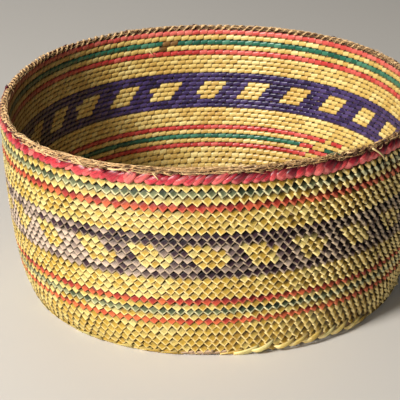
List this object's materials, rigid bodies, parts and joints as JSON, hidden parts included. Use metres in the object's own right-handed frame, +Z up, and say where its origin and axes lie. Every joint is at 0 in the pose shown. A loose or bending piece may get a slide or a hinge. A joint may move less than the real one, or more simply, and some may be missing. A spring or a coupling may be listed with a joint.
{
  "type": "basket",
  "caption": "Low open round basket in wrapped twining: flat base, upright wall with coloured stripes and a block band, and a corded rim; it holds small things.",
  "frame": {"origin": "centre of the ring that the basket stands on, at floor level", "axes": "+Z up through the open mouth; +X and +Y are level, and the basket is a few millimetres longer along Y"},
  "size_m": [0.1542, 0.1642, 0.0708],
  "materials": {
    "natural_grass": "dry satin straw",
    "red_grass": "dyed satin straw",
    "green_grass": "dyed satin straw, faded outside",
    "purple_grass": "dyed satin straw, faded outside",
    "block_grass": "natural and purple straw by turns",
    "bark": "dull fibrous bark",
    "cord": "fuzzy twisted fibre"
  },
  "bodies": {
    "root": {"bark_warps": "bark", "base_weft_under_inner": "natural_grass", "base_weft_under_outer": "natural_grass", "course_02_natural": "natural_grass", "course_03_green": "green_grass", "course_04_natural": "natural_grass", "course_05_red": "red_grass", "course_06_natural": "natural_grass", "course_07_natural": "natural_grass", "course_08_natural": "natural_grass", "course_09_natural": "natural_grass", "course_10_purple": "purple_grass", "course_11_purple": "purple_grass", "course_12_blocks": "block_grass", "course_13_blocks": "block_grass", "course_14_blocks": "block_grass", "course_15_blocks": "block_grass", "course_16_purple": "purple_grass", "course_17_purple": "purple_grass", "course_18_natural": "natural_grass", "course_19_natural": "natural_grass", "course_20_natural": "natural_grass", "course_21_natural": "natural_grass", "course_22_red": "red_grass", "course_23_natural": "natural_grass", "course_24_green": "green_grass", "course_25_natural": "natural_grass", "course_26_red": "red_grass", "course_27_natural": "natural_grass", "course_28_natural": "natural_grass", "course_29_natural": "natural_grass", "course_30_natural": "natural_grass", "course_31_natural": "natural_grass", "floor_weft_inner": "natural_grass", "floor_weft_outer": "natural_grass", "foot_course_lower": "natural_grass", "foot_course_upper": "natural_grass", "inner_weft_01_red": "red_grass", "inner_weft_02_natural": "natural_grass", "inner_weft_03_green": "green_grass", "inner_weft_04_natural": "natural_grass", "inner_weft_05_red": "red_grass", "inner_weft_06_to_09_natural": "natural_grass", "inner_weft_10_to_11_purple": "purple_grass", "inner_weft_12_to_15_blocks": "block_grass", "inner_weft_16_to_17_purple": "purple_grass", "inner_weft_18_to_21_natural": "natural_grass", "inner_weft_22_red": "red_grass", "inner_weft_23_natural": "natural_grass", "inner_weft_24_green": "green_grass", "inner_weft_25_natural": "natural_grass", "inner_weft_26_red": "red_grass", "inner_weft_27_to_31_natural": "natural_grass", "rim_cord": "cord", "rim_lashing_red": "red_grass"}
  },
  "joints": []
}
